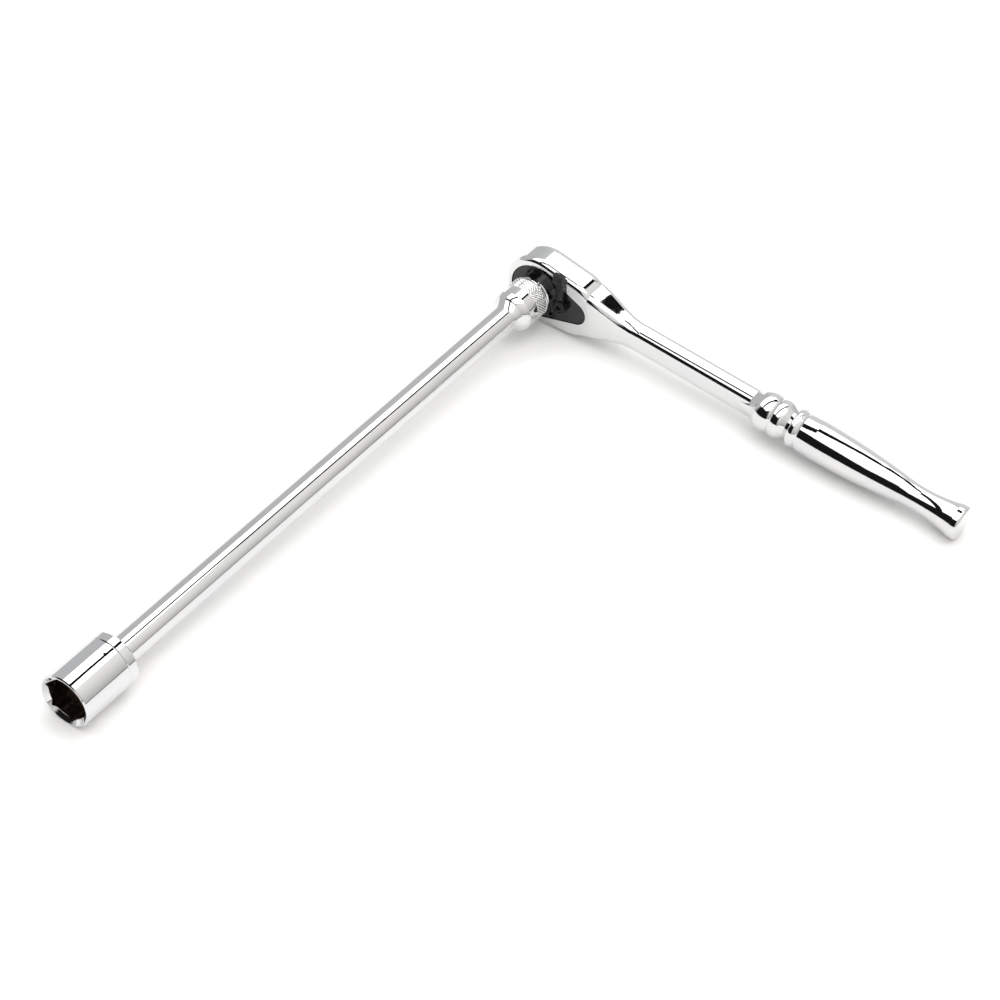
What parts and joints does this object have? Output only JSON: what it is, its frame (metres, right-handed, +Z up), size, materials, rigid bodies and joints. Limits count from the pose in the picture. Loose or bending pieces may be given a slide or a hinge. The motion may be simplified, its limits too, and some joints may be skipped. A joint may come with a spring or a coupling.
{
  "type": "ratchet wrench",
  "caption": "Teardrop-head ratchet wrench with a black cover plate and reversing lever, fitted with a long extension bar and a six-point socket.",
  "frame": {"origin": "centre of the bounding box's base, on the surface that the tool rests on", "axes": "+Z up from that surface, +Y along the extension bar from the socket towards the ratchet head, within a degree of the bar's axis, +X along the handle from the head to the grip's end"},
  "size_m": [0.247, 0.3468, 0.0359],
  "materials": {
    "chrome_steel": "bright chrome plate over a forged and polished steel surface",
    "black_plate": "glossy black finish over steel",
    "black_steel": "black oxide steel",
    "bare_steel": "ground and hardened steel, lightly oiled",
    "spring_steel": "drawn spring wire",
    "seal_rubber": "black nitrile rubber"
  },
  "bodies": {
    "ratchet": {"ratchet_body": "chrome_steel", "cover_plate": "black_plate", "cover_screws": "black_steel", "thrust_washer": "bare_steel"},
    "drive": {"drive_gear": "chrome_steel", "hub_seal": "seal_rubber", "drive_ball_spring": "spring_steel"},
    "drive_ball": {"drive_ball": "bare_steel"},
    "lever": {"reversing_lever": "black_steel", "lever_shaft": "bare_steel", "lever_screw": "black_steel", "lever_seal": "seal_rubber", "pawl_spring": "spring_steel"},
    "plunger": {"pawl_plunger": "bare_steel"},
    "pawl": {"pawl": "bare_steel"},
    "extension": {"extension_bar": "chrome_steel", "extension_ball_spring": "spring_steel"},
    "extension_ball": {"extension_ball": "bare_steel"},
    "socket": {"socket": "chrome_steel"}
  },
  "joints": [
    {"name": "drive_spin", "type": "hinge", "parent": "ratchet", "child": "drive", "pos_m": [-0.10585, 0.15576, 0.01769], "axis": [0, -0.9999, -0.0152], "continuous": true},
    {"name": "drive_ball_press", "type": "slide", "parent": "drive", "child": "drive_ball", "axis": [-0.2132, 0.0148, -0.9769], "range_m": [0, 0.0007], "stiffness_N_per_m": 400, "springref_m": -0.0005, "deforming": ["drive_ball_spring"]},
    {"name": "lever_flip", "type": "hinge", "parent": "ratchet", "child": "lever", "pos_m": [-0.09146, 0.15577, 0.01711], "axis": [0, 0.9999, 0.0152], "range_deg": [0, 55]},
    {"name": "plunger_press", "type": "slide", "parent": "lever", "child": "plunger", "axis": [-0.9049, 0.0065, -0.4255], "range_m": [0, 0.0004], "stiffness_N_per_m": 300, "springref_m": -0.0005, "deforming": ["pawl_spring"]},
    {"name": "pawl_rock", "type": "hinge", "parent": "ratchet", "child": "pawl", "pos_m": [-0.09146, 0.15577, 0.01711], "axis": [0, 0.9999, 0.0152], "range_deg": [0, 11]},
    {"name": "extension_pull", "type": "slide", "parent": "drive", "child": "extension", "axis": [0, -0.9999, -0.0152], "range_m": [0, 0.016], "deforming": ["drive_ball", "drive_ball_spring"]},
    {"name": "extension_ball_press", "type": "slide", "parent": "extension", "child": "extension_ball", "axis": [-0.2132, 0.0148, -0.9769], "range_m": [0, 0.0007], "stiffness_N_per_m": 400, "springref_m": -0.0005, "deforming": ["extension_ball_spring"]},
    {"name": "socket_pull", "type": "slide", "parent": "extension", "child": "socket", "axis": [0, -0.9999, -0.0152], "range_m": [0, 0.0185], "deforming": ["extension_ball", "extension_ball_spring"]}
  ],
  "couplings": [
    {"joint": "pawl_rock", "follows": "lever_flip", "ratio": 0.2}
  ]
}
